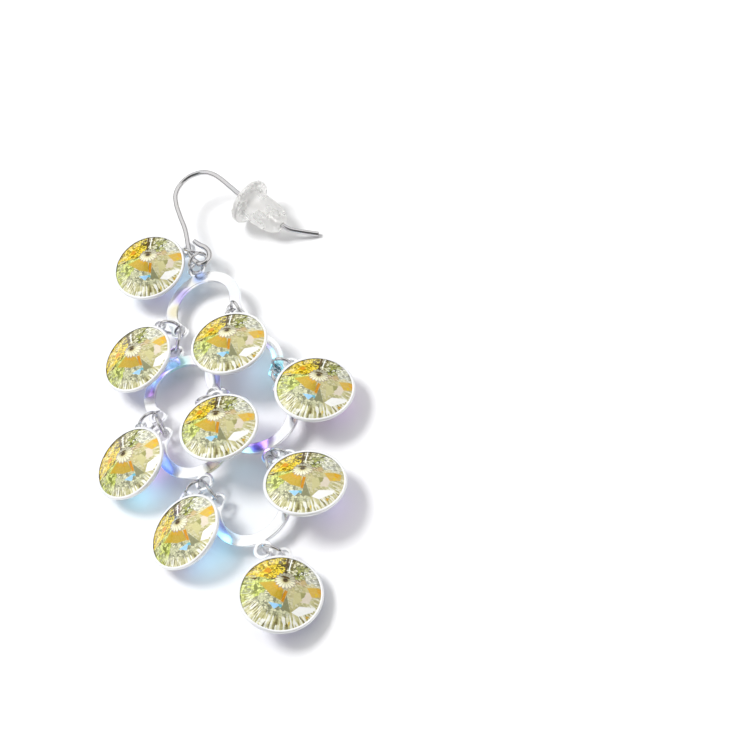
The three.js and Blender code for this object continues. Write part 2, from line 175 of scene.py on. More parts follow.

# Angle round the daisy where each wedge starts, in degrees, and its tone: near it and far from it.
# The wedges are the painted image of the foiled back's facets, each in its own tone and the light
# it catches.
NEAR_WEDGES = [
    (0, "tan"),
    (24, "moss"),
    (62, "olive_pale"),
    (100, "olive_gold"),
    (118, "yellow"),
    (182, "lime"),
    (245, "sage"),
    (290, "cream"),
    (325, "beige"),
]
FAR_WEDGES = [
    (0, "cream"),
    (12, "mist"),
    (40, "moss"),
    (72, "olive_pale"),
    (88, "olive"),
    (104, "olive_gold"),
    (120, "yellow"),
    (178, "moss"),
    (188, "lime"),
    (220, "sage"),
    (292, "beige"),
    (318, "straw"),
    (340, "cream"),
]
# The same for the painted highlights, the brightest slivers of each wedge, and for how much they
# break it up.
HIGHLIGHT_WEDGES = [
    (0, "white"),
    (62, "petal"),
    (104, "lemon"),
    (180, "lime_pale"),
    (222, "petal"),
    (285, "white"),
]
BUSY_WEDGES = [
    (0, 0.26),
    (12, 0.55),
    (40, 0.90),
    (120, 0.78),
    (180, 0.70),
    (212, 0.60),
    (285, 0.22),
]

# Facets with straight edges, painted with the light each one shows, the white ones as painted
# highlights: corners that run round the facet, and its tone.
FACETS = [
    ([(-0.62, 0.01), (-0.22, 0.07), (0.06, -0.12), (0.05, -0.40), (-0.22, -0.32)], "mustard"),
    ([(-0.30, -0.02), (-0.12, 0.02), (0.05, -0.12), (-0.05, -0.22)], "ochre"),
    ([(0.15, -0.22), (0.34, -0.60), (0.10, -0.56), (0.11, -0.40)], "stone_grey"),
    ([(0.07, -0.12), (0.16, -0.13), (0.12, -0.42), (0.04, -0.41)], "amber"),
    ([(-0.27, -0.46), (0.08, -0.47), (-0.07, -0.61)], "sky"),
    ([(0.0, -0.46), (0.10, -0.46), (0.10, -0.55), (0.03, -0.53)], "teal"),
    ([(0.38, -0.30), (0.56, 0.04), (0.76, 0.06), (0.70, -0.24)], "blush"),
    ([(0.34, -0.58), (0.50, -0.37), (0.88, -0.26), (0.84, -0.39), (0.54, -0.62)], "white"),
    ([(0.55, 0.16), (0.80, 0.28), (0.97, 0.27), (0.97, 0.06), (0.72, -0.05)], "gold"),
    ([(0.30, -0.10), (0.44, -0.04), (0.54, -0.22), (0.34, -0.45)], "straw"),
    ([(0.44, -0.04), (0.58, 0.02), (0.56, -0.12), (0.50, -0.20)], "olive_pale"),
    ([(0.78, 0.25), (0.93, 0.26), (0.90, 0.12), (0.82, 0.14)], "orange"),
    ([(0.76, 0.10), (0.86, 0.10), (0.82, -0.02)], "yellow"),
    ([(0.36, 0.22), (0.44, 0.37), (0.53, 0.27), (0.43, 0.16)], "tan"),
    ([(-0.60, 0.34), (-0.52, 0.50), (-0.38, 0.42), (-0.42, 0.30)], "amber"),
    ([(-0.40, 0.12), (-0.16, 0.22), (-0.20, 0.11)], "brown"),
    ([(-0.88, 0.14), (-0.66, 0.16), (-0.72, 0.06)], "brown"),
    ([(-0.14, 0.93), (-0.07, 0.96), (-0.03, 0.45), (-0.08, 0.44)], "brown"),
    ([(-0.03, 0.98), (0.01, 0.98), (0.04, 0.48), (0.0, 0.48)], "white"),
    ([(0.04, 0.97), (0.10, 0.96), (0.09, 0.50), (0.05, 0.50)], "olive"),
    ([(0.33, -0.80), (0.38, -0.78), (0.36, -0.93)], "yellow"),
    ([(0.68, -0.55), (0.80, -0.50), (0.74, -0.62)], "ochre"),
]
TONES = {
    "white": (0.99, 0.99, 0.95),
    "mist": (0.74, 0.75, 0.60),
    "petal": (0.90, 0.87, 0.62),
    "cream": (0.66, 0.60, 0.29),
    "blush": (0.78, 0.69, 0.55),
    "beige": (0.56, 0.52, 0.24),
    "straw": (0.63, 0.59, 0.28),
    "tan": (0.56, 0.43, 0.20),
    "gold": (0.70, 0.46, 0.07),
    "lemon": (0.96, 0.80, 0.08),
    "yellow": (0.80, 0.55, 0.008),
    "mustard": (0.53, 0.36, 0.03),
    "ochre": (0.60, 0.35, 0.02),
    "amber": (0.64, 0.27, 0.003),
    "orange": (0.76, 0.40, 0.02),
    "brown": (0.10, 0.06, 0.012),
    "olive": (0.16, 0.13, 0.03),
    "olive_pale": (0.34, 0.33, 0.11),
    "olive_gold": (0.36, 0.25, 0.02),
    "moss": (0.45, 0.48, 0.12),
    "lime": (0.58, 0.66, 0.14),
    "lime_pale": (0.84, 0.88, 0.34),
    "sage": (0.58, 0.59, 0.36),
    "stone_grey": (0.27, 0.27, 0.14),
    "pink_grey": (0.40, 0.30, 0.25),
    "sky": (0.36, 0.66, 0.96),
    "teal": (0.16, 0.50, 0.62),
    # Colours of the painted reflections of the crystals' light on the links.
    "reflected_blue": (0.46, 0.60, 0.98),
    "reflected_pale": (0.66, 0.84, 1.0),
    "reflected_lavender": (0.58, 0.50, 0.92),
    "reflected_violet": (0.60, 0.50, 0.86),
    "reflected_deep": (0.26, 0.22, 0.70),
    "reflected_cyan": (0.40, 0.86, 0.98),
    "reflected_pool": (0.56, 0.96, 0.98),
    "reflected_mauve": (0.74, 0.66, 0.82),
    "reflected_straw": (0.86, 0.80, 0.56),
}
# Share of the cells up to each tone, for the strokes along the rim: painted highlights and dark
# reflections.
STROKES = [
    (0.0, (0.16, 0.13, 0.03)),
    (0.14, (0.38, 0.35, 0.12)),
    (0.34, (0.60, 0.57, 0.29)),
    (0.56, (0.84, 0.81, 0.56)),
    (0.76, (1.0, 1.0, 0.94)),
]

# The camera: its tilt and roll, its focal length in picture widths, where it looks and from how
# far in millimetres, and the side of the sky that stays dark behind it.
CAMERA_TILT = math.radians(54.0)
CAMERA_ROLL = math.radians(25.0)
FOCAL_LENGTH = 1630.0 / 750.0
LOOK_AT = (19.946, -6.335, -0.066)
CAMERA_DISTANCE = 228.2
CAMERA_SIDE = (0.0, -0.588, 0.809)
PALE_GROUND = (0.86, 0.86, 0.865)
# Name, direction, distance and size in metres, and power of every lamp.
LAMPS = [
    ("key", (-2.06, 2.61, 4.9), 1.5, 0.6, 16.0),
    ("fill", (3.0, -1.2, 3.6), 1.8, 0.9, 1.5),
]


def millimetres(name, description, default):
    return bpy.props.FloatProperty(
        name=name,
        description=description,
        default=default * MM,
        min=0.0,
        precision=5,
        subtype="DISTANCE",
        unit="LENGTH",
    )


def tint(name, description, default):
    return bpy.props.FloatVectorProperty(
        name=name,
        description=description,
        default=default,
        size=3,
        min=0.0,
        max=1.0,
        subtype="COLOR",
    )


class EarringSizes(bpy.types.PropertyGroup):
    """Sizes of the earring's pieces."""

    link_diameter: millimetres("Link Diameter", "Across the centre line of a link's band", 10.21)
    link_width: millimetres("Link Width", "Width of a link's flat band", 1.65)
    link_thickness: millimetres("Link Thickness", "Thickness of a link's sheet", 0.55)
    link_edge: millimetres("Link Edge", "Rounding of a link's polished edge", 0.07)
    lug_radius: millimetres("Lug Radius", "Radius of the round lugs on a link", 1.35)
    lug_hole: millimetres("Lug Hole", "Radius of the hole in a link's lug", 0.85)
    lug_overlap: millimetres("Lug Overlap", "How far the middle lug sinks into the band", 0.2)
    link_end: bpy.props.FloatProperty(
        name="Link End Angle",
        description="How far the band runs on past the half circle at each end",
        default=math.radians(33.0),
        subtype="ANGLE",
        unit="ROTATION",
    )
    ring_diameter: millimetres("Ring Diameter", "Across the centre line of a jump ring", 3.1)
    ring_wire: millimetres("Ring Wire", "Thickness of a jump ring's wire", 0.47)
    stone_diameter: millimetres("Crystal Diameter", "Across the crystal's girdle", 10.6)
    stone_table: millimetres("Crystal Table", "Across the flat facet at the tip", 0.9)
    crown_height: millimetres("Crown Height", "From the girdle's middle to the tip", 2.1)
    back_depth: millimetres("Back Depth", "From the girdle's middle to the back's tip", 2.5)
    girdle: millimetres("Girdle", "Height of the crystal's narrow edge", 0.3)
    cup_wall: millimetres("Setting Wall", "Thickness of the collar round a crystal", 0.32)
    cup_depth: millimetres("Setting Depth", "From the girdle's middle to the lower edge", 0.62)
    cup_lip: millimetres("Setting Lip", "From the girdle's middle up to the lip", 0.34)
    cup_lug: millimetres("Setting Lug", "Radius of the lug on a collar", 1.1)
    cup_hole: millimetres("Setting Hole", "Radius of the hole in a collar's lug", 0.7)
    cup_sheet: millimetres("Setting Lug Thickness", "Thickness of the lug on a collar", 0.5)
    cup_drop: millimetres("Setting Lug Drop", "Lug's middle below the girdle", 1.2)
    wire: millimetres("Ear Wire", "Thickness of the ear wire", 0.79)
    stopper_length: millimetres("Stopper Length", "From the flange to the nose", 7.2)
    stopper_flange: millimetres("Stopper Flange", "Across the stopper's flange", 7.2)
    stopper_body: millimetres("Stopper Body", "Across the stopper's body", 4.85)


class EarringColours(bpy.types.PropertyGroup):
    """Colours of the earring's finishes."""

    plating: tint("Plating", "Polished plating of the links and settings", (0.96, 0.965, 0.97))
    wire: tint("Wire", "Drawn wire of the rings and the ear wire", (0.66, 0.65, 0.65))
    silicone: tint("Silicone", "Clear frosted stopper", (0.995, 0.99, 0.975))
    floor: tint("Floor", "Pale floor under the earring", (0.90, 0.90, 0.905))


def sizes():
    return bpy.context.scene.earring_sizes


def colours():
    return bpy.context.scene.earring_colours


# Shader helpers

GRID_COLUMNS = 12
GRID_STEP = (190, -230)


def preset(node, values):
    """Sets inputs that have no link, from a dictionary of their names or numbers and values."""
    for key, value in values.items():
        node.inputs[key].default_value = value


class Nodes:
    """Short calls for building one node tree, with its nodes on a grid in the order of building."""

    def __init__(self, tree):
        self.tree = tree

    def add(self, kind, presets=None, **settings):
        row, column = divmod(len(self.tree.nodes), GRID_COLUMNS)
        node = self.tree.nodes.new(kind)
        node.location = (column * GRID_STEP[0], row * GRID_STEP[1])
        for key, value in settings.items():
            setattr(node, key, value)
        preset(node, presets or {})
        return node

    def link(self, start, end):
        self.tree.links.new(start, end)

    def maths(self, operation, *values):
        """A Math node from numbers and outputs."""
        node = self.add("ShaderNodeMath", operation=operation)
        for socket, value in zip(node.inputs, values):
            if isinstance(value, (int, float)):
                socket.default_value = value
            else:
                self.link(value, socket)
        return node.outputs[0]

    def mix(self, factor, a, b, blend="MIX"):
        """A Mix node for colours, from numbers, colours and outputs."""
        node = self.add("ShaderNodeMix", data_type="RGBA", blend_type=blend)
        for index, value in ((0, factor), (6, a), (7, b)):
            socket = node.inputs[index]
            if isinstance(value, (int, float)):
                socket.default_value = value
            elif isinstance(value, tuple):
                socket.default_value = (*value, 1.0)
            else:
                self.link(value, socket)
        return node.outputs[2]

    def ramp(self, factor, stops, interpolation="LINEAR"):
        """A Color Ramp from (position, colour or grey) pairs."""
        node = self.add("ShaderNodeValToRGB")
        node.color_ramp.interpolation = interpolation
        elements = node.color_ramp.elements
        while len(elements) < len(stops):
            elements.new(1.0)
        for element, (position, colour) in zip(elements, stops):
            element.position = position
            element.color = (*(colour if isinstance(colour, tuple) else (colour,) * 3), 1.0)
        self.link(factor, node.inputs[0])
        return node.outputs[0]

    def noise(self, spot, scale, detail=2.0):
        node = self.add("ShaderNodeTexNoise", {"Scale": scale, "Detail": detail})
        self.link(spot, node.inputs["Vector"])
        return node.outputs["Fac"]

    def along(self, vector, direction, operation="DOT_PRODUCT"):
        """How far a vector reaches along a direction."""
        node = self.add("ShaderNodeVectorMath", {1: direction}, operation=operation)
        self.link(vector, node.inputs[0])
        return node.outputs["Value"]

    def bump(self, surface, height, strength, distance):
        node = self.add("ShaderNodeBump", {"Strength": strength, "Distance": distance})
        self.link(height, node.inputs["Height"])
        self.link(node.outputs["Normal"], surface.inputs["Normal"])


def group(name, inputs, outputs):
    """A new shader node group with named sockets: name, kind and, for an input, its default."""
    tree = bpy.data.node_groups.new(name, "ShaderNodeTree")
    for direction, rows in (("INPUT", inputs), ("OUTPUT", outputs)):
        for title, kind, *default in rows:
            socket = tree.interface.new_socket(title, in_out=direction, socket_type=kind)
            if default:
                socket.default_value = default[0]
    nodes = Nodes(tree)
    return nodes, nodes.add("NodeGroupInput"), nodes.add("NodeGroupOutput")


def polish_group():
    """Fine scratches and smears on polished metal, and a painted reflection of the crystals'
    coloured light in random patches.
    """
    found = bpy.data.node_groups.get("polish")
    if found:
        return found
    nodes, start, end = group(
        "polish",
        [
            ("Colour", "NodeSocketColor", (0.8, 0.8, 0.8, 1.0)),
            ("Pearl", "NodeSocketFloat", 0.2),
            ("Roughness", "NodeSocketFloat", 0.08),
            ("Scratches", "NodeSocketFloat", 0.05),
        ],
        [
            ("Colour", "NodeSocketColor"),
            ("Roughness", "NodeSocketFloat"),
            ("Height", "NodeSocketFloat"),
        ],
    )
    spot = nodes.add("ShaderNodeTexCoord").outputs["Object"]
    smear = nodes.noise(spot, 420.0, 3.0)
    # Painted reflections of the crystals' straw, lavender, blue and cyan light in random patches,
    # white between them.
    tones = nodes.ramp(
        nodes.noise(spot, 190.0, 1.0),
        [
            (0.30, (0.93, 0.88, 0.55)),
            (0.36, (1.0, 1.0, 1.0)),
            (0.56, (1.0, 1.0, 1.0)),
            (0.60, (0.62, 0.54, 1.0)),
            (0.65, (0.42, 0.62, 1.0)),
            (0.71, (0.45, 0.92, 1.0)),
        ],
    )
    with_reflections = nodes.mix(start.outputs["Pearl"], start.outputs["Colour"], tones, "MULTIPLY")
    stretch = nodes.add(
        "ShaderNodeMapping",
        {"Rotation": (0.0, 0.0, math.radians(25)), "Scale": (1.0, 14.0, 1.0)},
    )
    nodes.link(spot, stretch.inputs["Vector"])
    scratch = nodes.noise(stretch.outputs["Vector"], 700.0, 4.0)
    lines = nodes.ramp(scratch, [(0.52, 0.0), (0.62, 1.0)])
    worn = nodes.maths("MULTIPLY", lines, start.outputs["Scratches"])
    smeared = nodes.maths("MULTIPLY", smear, 0.06)
    rough = nodes.maths("ADD", smeared, start.outputs["Roughness"])
    nodes.link(with_reflections, end.inputs["Colour"])
    nodes.link(nodes.maths("ADD", rough, worn), end.inputs["Roughness"])
    nodes.link(lines, end.inputs["Height"])
    return nodes.tree


def shader(name, presets=None):
    """A new material, its node helper and its Principled BSDF."""
    material = bpy.data.materials.new(name)
    material.use_nodes = True
    tree = material.node_tree
    tree.nodes.clear()
    nodes = Nodes(tree)
    surface = nodes.add("ShaderNodeBsdfPrincipled", presets)
    output = nodes.add("ShaderNodeOutputMaterial")
    nodes.link(surface.outputs[0], output.inputs[0])
    return material, nodes, surface


def metal(name, colour, roughness, scratches, reflection_share, reflection_patches=(), metallic=1.0):
    """Polished metal, with painted reflections of the crystals' coloured light at some places on
    it.
    """
    found = bpy.data.materials.get(name)
    if found:
        return found
    material, nodes, surface = shader(name, {"Metallic": metallic})
    polish = nodes.add("ShaderNodeGroup", node_tree=polish_group())
    values = {"Pearl": reflection_share, "Roughness": roughness, "Scratches": scratches}
    preset(polish, {"Colour": (*colour, 1.0), **values})
    with_reflections = polish.outputs["Colour"]
    spot = nodes.add("ShaderNodeTexCoord").outputs["Object"]
    # Painted reflection of a crystal's coloured light, strongest near its middle and gone at its
    # reach.
    for middle, reach, tone in reflection_patches:
        gap = nodes.along(spot, Vector(middle) * MM, "DISTANCE")
        near = nodes.maths("MULTIPLY", gap, 0.5 / (reach * MM))
        near = nodes.ramp(near, [(0.22, 0.9), (0.5, 0.0)])
        with_reflections = nodes.mix(near, with_reflections, TONES[tone])
    nodes.link(with_reflections, surface.inputs["Base Color"])
    nodes.link(polish.outputs["Roughness"], surface.inputs["Roughness"])
    nodes.bump(surface, polish.outputs["Height"], 0.04, 0.02 * MM)
    return material


def crystal_front():
    """The cut front, painted with the light its facets refract and reflect: wedges and slivers of
    gold, lime, cream and grey round the painted image of the back's tip, which shows as a small
    daisy, breaking up into bright strokes towards the rim; the brightest cells and strokes are
    painted highlights, the darkened cells painted shade."""
    found = bpy.data.materials.get("crystal_front")
    if found:
        return found
    material, nodes, surface = shader(
        "crystal_front",
        {
            "IOR": 1.55,
            "Specular IOR Level": 0.35,
            "Coat Weight": 0.25,
            "Coat Roughness": 0.03,
            "Coat IOR": 1.5,
        },
    )
    face = nodes.add("ShaderNodeUVMap", uv_map="face_map").outputs["UV"]
    split = nodes.add("ShaderNodeSeparateXYZ")
    nodes.link(face, split.inputs[0])
    u, v = split.outputs[0], split.outputs[1]
    rim_reach, rim_turn = polar(nodes, u, v, (0.0, 0.0))
    tip_reach, tip_turn = polar(nodes, u, v, DAISY)
    jitter = nodes.maths("MULTIPLY_ADD", nodes.noise(face, 11.0), 0.05, -0.025)
    turn = nodes.maths("ADD", tip_turn, jitter)

    # Painted image of the back's facets: each wedge's tone in the light it catches, near the daisy
    # and beyond it.
    near = nodes.ramp(turn, wedges(NEAR_WEDGES), "CONSTANT")
    outer = nodes.ramp(turn, wedges(FAR_WEDGES), "CONSTANT")
    far = nodes.ramp(tip_reach, [(0.46, 0.0), (0.52, 1.0)])
    colour = nodes.mix(far, near, outer)

    mosaic = plane(nodes, u, v, MOSAIC)
    fine = cells(nodes, plane(nodes, tip_turn, tip_reach, FINE_MOSAIC))
    kind = nodes.maths("ADD", cells(nodes, mosaic), nodes.maths("MULTIPLY", fine, 0.45))
    kind = nodes.maths("FRACT", kind)
    busy = nodes.ramp(turn, [(angle / 360.0, share) for angle, share in BUSY_WEDGES], "CONSTANT")
    # Painted shade: cells darkened as facets that send back little light.
    painted_dark_cells = nodes.ramp(kind, [(0.0, 0.10), (0.15, 0.34), (0.30, 0.66), (0.46, 1.0)], "CONSTANT")
    colour = nodes.mix(busy, colour, nodes.mix(1.0, colour, painted_dark_cells, "MULTIPLY"))
    # Painted highlights: the brightest cells, as glints in a pale tone of their wedge.
    highlights = nodes.ramp(turn, wedges(HIGHLIGHT_WEDGES), "CONSTANT")
    spark = nodes.ramp(kind, [(0.0, 0.0), (0.62, 0.45), (0.78, 0.85), (0.90, 1.0)], "CONSTANT")
    colour = nodes.mix(nodes.maths("MULTIPLY", spark, busy), colour, highlights)
    edges = voronoi(nodes, mosaic, "DISTANCE_TO_EDGE").outputs["Distance"]
    seams = nodes.ramp(edges, [(0.03, 0.30), (0.10, 1.0)])
    seams = nodes.mix(busy, (1.0, 1.0, 1.0), seams)
    colour = nodes.mix(1.0, colour, seams, "MULTIPLY")

    # Painted highlights and dark reflections as strokes along the rim.
    tone = cells(nodes, plane(nodes, rim_turn, rim_reach, RIM_STROKES))
    tones = nodes.ramp(tone, STROKES, "CONSTANT")
    share = nodes.ramp(rim_reach, [(0.68, 0.0), (0.78, 0.75), (0.92, 0.9), (1.0, 0.6)])
    low = nodes.ramp(
        rim_turn, [(0.0, 0.35), (0.10, 0.25), (0.55, 0.30), (0.63, 1.0), (0.92, 1.0), (1.0, 0.4)]
    )
    colour = nodes.mix(nodes.maths("MULTIPLY", share, low), colour, tones)

    # Facets painted with the light they show, the white ones as painted highlights.
    for corners, name in FACETS:
        colour = nodes.mix(facet(nodes, face, corners), colour, TONES[name])
    # Painted image of the back's tip: a daisy with a dark heart.
    petal, inside = daisy(nodes, tip_reach, tip_turn)
    colour = nodes.mix(inside, colour, petal)
    colour = nodes.mix(facet(nodes, face, HEART), colour, TONES["brown"])
    nodes.link(colour, surface.inputs["Base Color"])
    nodes.link(nodes.ramp(kind, [(0.0, 0.12), (1.0, 0.34)]), surface.inputs["Roughness"])
    nodes.bump(surface, kind, 0.5, 0.06 * MM)
    return material


def facet(nodes, spot, corners):
    """1 inside a facet whose corners run round it, with straight edges and no hollow corner."""
    sides = list(zip(corners, corners[1:] + corners[:1]))
    area = sum(a[0] * b[1] - b[0] * a[1] for a, b in sides)
    inside = None
    for a, b in sides:
        inward = Vector((a[1] - b[1], b[0] - a[0])).normalized() * (1 if area > 0 else -1)
        reach = nodes.along(spot, (inward.x, inward.y, 0.0))
        depth = nodes.maths("SUBTRACT", reach, inward.x * a[0] + inward.y * a[1])
        inside = depth if inside is None else nodes.maths("MINIMUM", inside, depth)
    return nodes.ramp(inside, [(0.0, 0.0), (0.012, 1.0)])


def polar(nodes, u, v, centre):
    """Distance from a centre, and the turn round it from 0 to 1."""
    across = nodes.maths("SUBTRACT", u, centre[0])
    along = nodes.maths("SUBTRACT", v, centre[1])
    squares = [nodes.maths("MULTIPLY", value, value) for value in (across, along)]
    reach = nodes.maths("SQRT", nodes.maths("ADD", *squares))
    turn = nodes.maths("MULTIPLY", nodes.maths("ARCTAN2", along, across), 1 / (2 * math.pi))
    return reach, nodes.maths("FRACT", nodes.maths("ADD", turn, 1.0))


def wedges(rows):
    """Ramp stops from rows of the angle where a wedge starts, in degrees, and its tone."""
    return [(angle / 360.0, TONES[tone]) for angle, tone in rows]


def plane(nodes, first, second, scales):
    """Two values, each times its scale, as a spot on a plane."""
    joined = nodes.add("ShaderNodeCombineXYZ")
    for socket, value, scale in zip(joined.inputs, (first, second), scales):
        nodes.link(nodes.maths("MULTIPLY", value, scale), socket)
    return joined.outputs[0]


def voronoi(nodes, spot, feature="F1"):
    """Cells of uneven size on a plane."""
    node = nodes.add("ShaderNodeTexVoronoi", feature=feature, voronoi_dimensions="2D")
    preset(node, {"Scale": 1.0, "Randomness": 0.9})
    nodes.link(spot, node.inputs["Vector"])
    return node


def cells(nodes, spot):
    """A random value from 0 to 1 for each cell."""
    tone = nodes.add("ShaderNodeSeparateColor")
    nodes.link(voronoi(nodes, spot).outputs["Color"], tone.inputs[0])
    return tone.outputs[0]


def daisy(nodes, reach, turn):
    """The painted image of the back's facets, seen as pale petals with dark outlines, and where
    they are.
    """
    petals = nodes.maths("COSINE", nodes.maths("MULTIPLY", turn, DAISY_PETALS * math.pi))
    wave = nodes.maths("ABSOLUTE", petals)
    ratio = nodes.maths("DIVIDE", reach, nodes.maths("MULTIPLY_ADD", wave, 0.05, 0.22))
    outward = nodes.ramp(
        ratio,
        [
            (0.0, TONES["brown"]),
            (0.20, TONES["brown"]),
            (0.30, TONES["cream"]),
            (0.55, TONES["petal"]),
            (0.86, TONES["petal"]),
            (0.96, TONES["pink_grey"]),
        ],
    )
    gap = nodes.ramp(wave, [(0.12, 0.42), (0.40, 1.0)])
    petal = nodes.mix(1.0, outward, gap, "MULTIPLY")
    upper = nodes.ramp(
        turn,
        [(0.0, 0.9), (0.08, 0.6), (0.25, 0.45), (0.42, 0.5), (0.5, 0.9), (0.75, 1.0), (0.98, 1.0)],
    )
    return nodes.mix(1.0, petal, upper, "MULTIPLY"), nodes.maths("LESS_THAN", ratio, 1.0)


def crystal_foil():
    """The coated back: blue and violet, glowing on its far side in place of the light that comes
    through it.
    """
    found = bpy.data.materials.get("crystal_foil")
    if found:
        return found
    material, nodes, surface = shader("crystal_foil", {"Metallic": 1.0, "Emission Strength": 2.2})
    drift = nodes.noise(nodes.add("ShaderNodeTexCoord").outputs["Object"], 150.0, 1.0)
    coat = nodes.ramp(
        drift,
        [
            (0.34, (0.55, 0.86, 0.98)),
            (0.46, (0.58, 0.68, 0.96)),
            (0.55, (0.70, 0.62, 0.92)),
            (0.68, (0.95, 0.78, 0.62)),
        ],
    )
    nodes.link(coat, surface.inputs["Base Color"])
    nodes.link(nodes.ramp(drift, [(0.3, 0.10), (0.7, 0.24)]), surface.inputs["Roughness"])
    normal = nodes.add("ShaderNodeNewGeometry").outputs["Normal"]
    lit = nodes.ramp(nodes.along(normal, FAR_SIDE), [(0.20, 0.0), (0.38, 1.0)])
    glow = nodes.ramp(
        drift,
        [
            (0.41, (0.36, 0.84, 0.96)),
            (0.46, (0.10, 0.15, 0.26)),
            (0.53, (0.03, 0.02, 0.03)),
            (0.59, (0.66, 0.40, 0.88)),
        ],
    )
    nodes.link(nodes.mix(1.0, glow, lit, "MULTIPLY"), surface.inputs["Emission Color"])
    return material


def silicone():
    """Clear silicone with a fine haze, and a faint glow in place of the light it scatters."""
    found = bpy.data.materials.get("frosted_silicone")
    if found:
        return found
    material, nodes, surface = shader(
        "frosted_silicone",
        {
            "IOR": 1.41,
            "Transmission Weight": 0.72,
            "Emission Color": (1.0, 0.99, 0.97, 1.0),
            "Emission Strength": 0.03,
        },
    )
    haze = nodes.noise(nodes.add("ShaderNodeTexCoord").outputs["Object"], 600.0, 4.0)
    clear = tuple(colours().silicone)
    cloudy = tuple(0.94 * value for value in clear)
    nodes.link(nodes.ramp(haze, [(0.3, cloudy), (0.7, clear)]), surface.inputs["Base Color"])
    nodes.link(nodes.ramp(haze, [(0.3, 0.24), (0.7, 0.34)]), surface.inputs["Roughness"])
    nodes.bump(surface, haze, 0.05, 0.05 * MM)
    return material


def plating():
    return metal("link_plating", colours().plating, 0.12, 0.05, 0.10, PAINTED_REFLECTIONS)


def setting_plating():
    return metal("setting_plating", colours().plating, 0.35, 0.06, 0.05, metallic=0.45)


def drawn_wire():
    return metal("drawn_wire", colours().wire, 0.04, 0.10, 0.05)


# Mesh helpers


def place(centre, turn):
    """The matrix of a piece from its centre in millimetres and its turn in degrees."""
    angles = Euler([math.radians(value) for value in turn], "XYZ")
    return Matrix.Translation(Vector(centre) * MM) @ angles.to_matrix().to_4x4()


def arc(centre, radius, start, end, steps):
    """Points along an arc, both its ends among them."""
    points = []
    for index in range(steps + 1):
        angle = start + (end - start) * index / steps
        points.append((centre[0] + radius * math.cos(angle), centre[1] + radius * math.sin(angle)))
    return points


def circle(centre, radius, steps):
    return arc(centre, radius, 0, 2 * math.pi, steps)[:-1]


def finished(name, mesh, matrix, materials):
    """Puts a mesh in its place as a finished piece that stands for the CAD node of its name."""
    mesh.transform(matrix)
    mesh.name = f"{name}_dressed"
    for material in materials:
        mesh.materials.append(material)
    piece = bpy.data.objects.new(f"{name}_dressed", mesh)
    bpy.context.scene.collection.objects.link(piece)
    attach(piece, "root")
    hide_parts(name)


def evaluated(thing):
    """The mesh that a curve object gives with its modifiers on; the object itself is removed."""
    bpy.context.view_layer.update()
    depsgraph = bpy.context.evaluated_depsgraph_get()
    mesh = bpy.data.meshes.new_from_object(thing.evaluated_get(depsgraph), depsgraph=depsgraph)
    mesh.materials.clear()
    curve = thing.data
    bpy.data.objects.remove(thing)
    bpy.data.curves.remove(curve)
    return mesh


def mesh_from(work, name):
    """A new mesh from a finished bmesh, which is freed."""
    mesh = bpy.data.meshes.new(name)
    work.to_mesh(mesh)
    work.free()
    return mesh


def smooth(mesh, angle):
    mesh.shade_smooth()
    mesh.set_sharp_from_angle(angle=math.radians(angle))


def cleaned(mesh, distance, angle):
    """A mesh with its double points merged, its faces outward and its shading smooth."""
    work = bmesh.new()
    work.from_mesh(mesh)
    bmesh.ops.remove_doubles(work, verts=work.verts, dist=distance)
    bmesh.ops.recalc_face_normals(work, faces=work.faces)
    work.to_mesh(mesh)
    work.free()
    smooth(mesh, angle)
    return mesh


def plate(outlines, thickness, edge):
    """A flat plate with rounded edges from closed outlines, the holes' outlines among them."""
    curve = bpy.data.curves.new("plate", "CURVE")
    curve.dimensions = "2D"
    curve.fill_mode = "BOTH"
    curve.extrude = thickness / 2 - edge
    curve.bevel_depth = edge
    curve.bevel_resolution = 2
    curve.offset = -edge
    for points in outlines:
        spline = curve.splines.new("POLY")
        spline.points.add(len(points) - 1)
        for point, (x, y) in zip(spline.points, points):
            point.co = (x, y, 0.0, 1.0)
        spline.use_cyclic_u = True
    thing = bpy.data.objects.new("plate", curve)
    bpy.context.scene.collection.objects.link(thing)
    return cleaned(evaluated(thing), 2e-7, 40)


def turned(profile, steps):
    """A closed ring of revolution about Z from (radius, height) pairs in a closed loop."""
    work = bmesh.new()
    rows = []
    for index in range(steps):
        angle = 2 * math.pi * index / steps
        across, along = math.cos(angle), math.sin(angle)
        rows.append([work.verts.new((r * across, r * along, z)) for r, z in profile])
    count = len(profile)
    for index, here in enumerate(rows):
        there = rows[(index + 1) % steps]
        for step in range(count):
            after = (step + 1) % count
            work.faces.new((here[step], there[step], there[after], here[after]))
    bmesh.ops.recalc_face_normals(work, faces=work.faces)
    return mesh_from(work, "turned")


